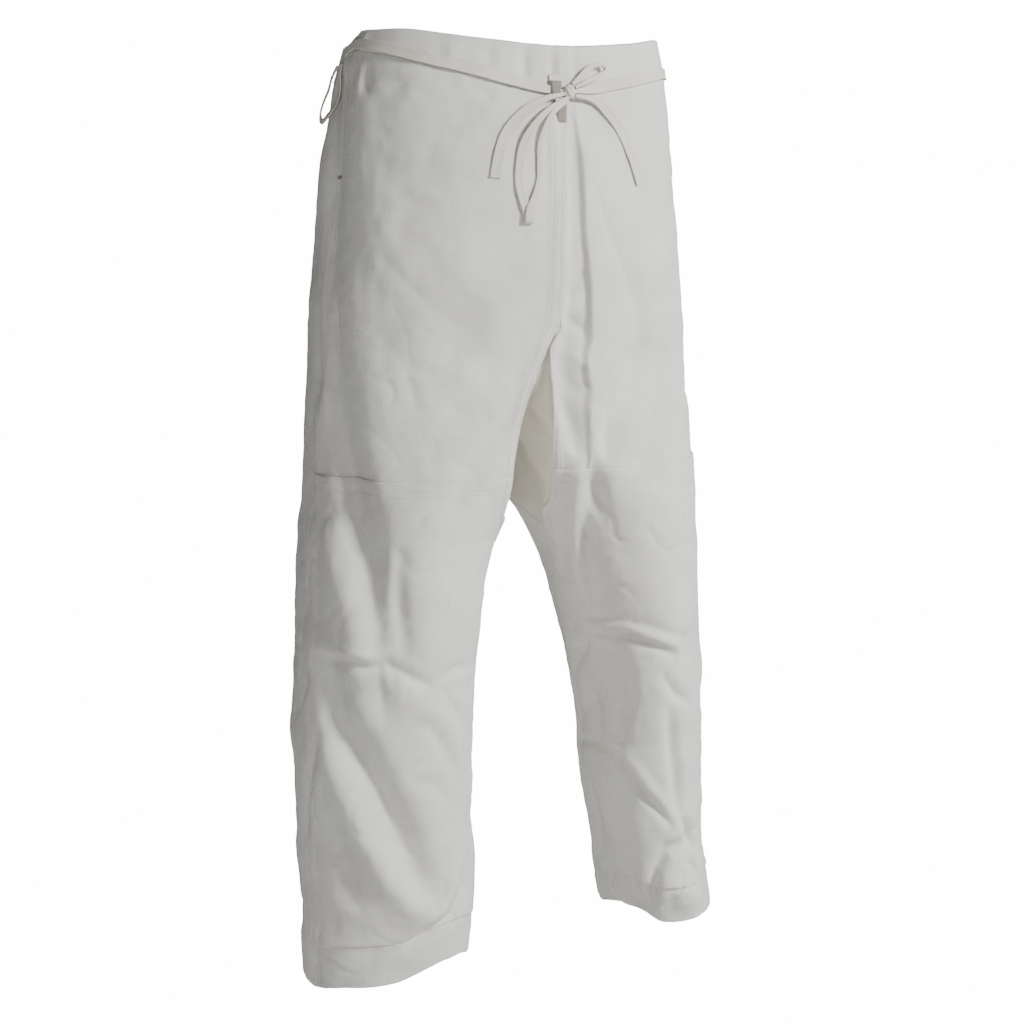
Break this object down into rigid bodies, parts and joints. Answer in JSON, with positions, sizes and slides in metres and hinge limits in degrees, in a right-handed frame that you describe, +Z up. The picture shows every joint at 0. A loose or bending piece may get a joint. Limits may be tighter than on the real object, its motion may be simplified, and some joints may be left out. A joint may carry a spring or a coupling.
{
  "type": "judo pants",
  "caption": "Wide-legged judo pants of off-white cotton, filled out as if worn, with a crotch gusset, knee patches and a tape drawstring tied in a bow at the front.",
  "frame": {"origin": "centre of the waist, at half the height of the waistband, where a wearer holds the garment up", "axes": "+Z up towards the rim, -Y to the front, +X to the wearer's left"},
  "size_m": [0.497, 0.2839, 0.977],
  "materials": {
    "cotton": "matte twill",
    "tape": "matte woven tape"
  },
  "bodies": {
    "root": {"waistband_front": "cotton", "waistband_back": "cotton", "front_right": "cotton", "front_left": "cotton", "back_right": "cotton", "back_left": "cotton", "gusset": "cotton", "knee_patch_right": "cotton", "knee_patch_left": "cotton", "front_loop": "cotton", "tape_run_right": "tape", "tape_run_left": "tape", "bow_knot": "tape", "bow_loop_long": "tape", "bow_loop_short": "tape", "tape_end_right": "tape", "tape_end_left": "tape", "side_loop": "tape"}
  },
  "joints": []
}
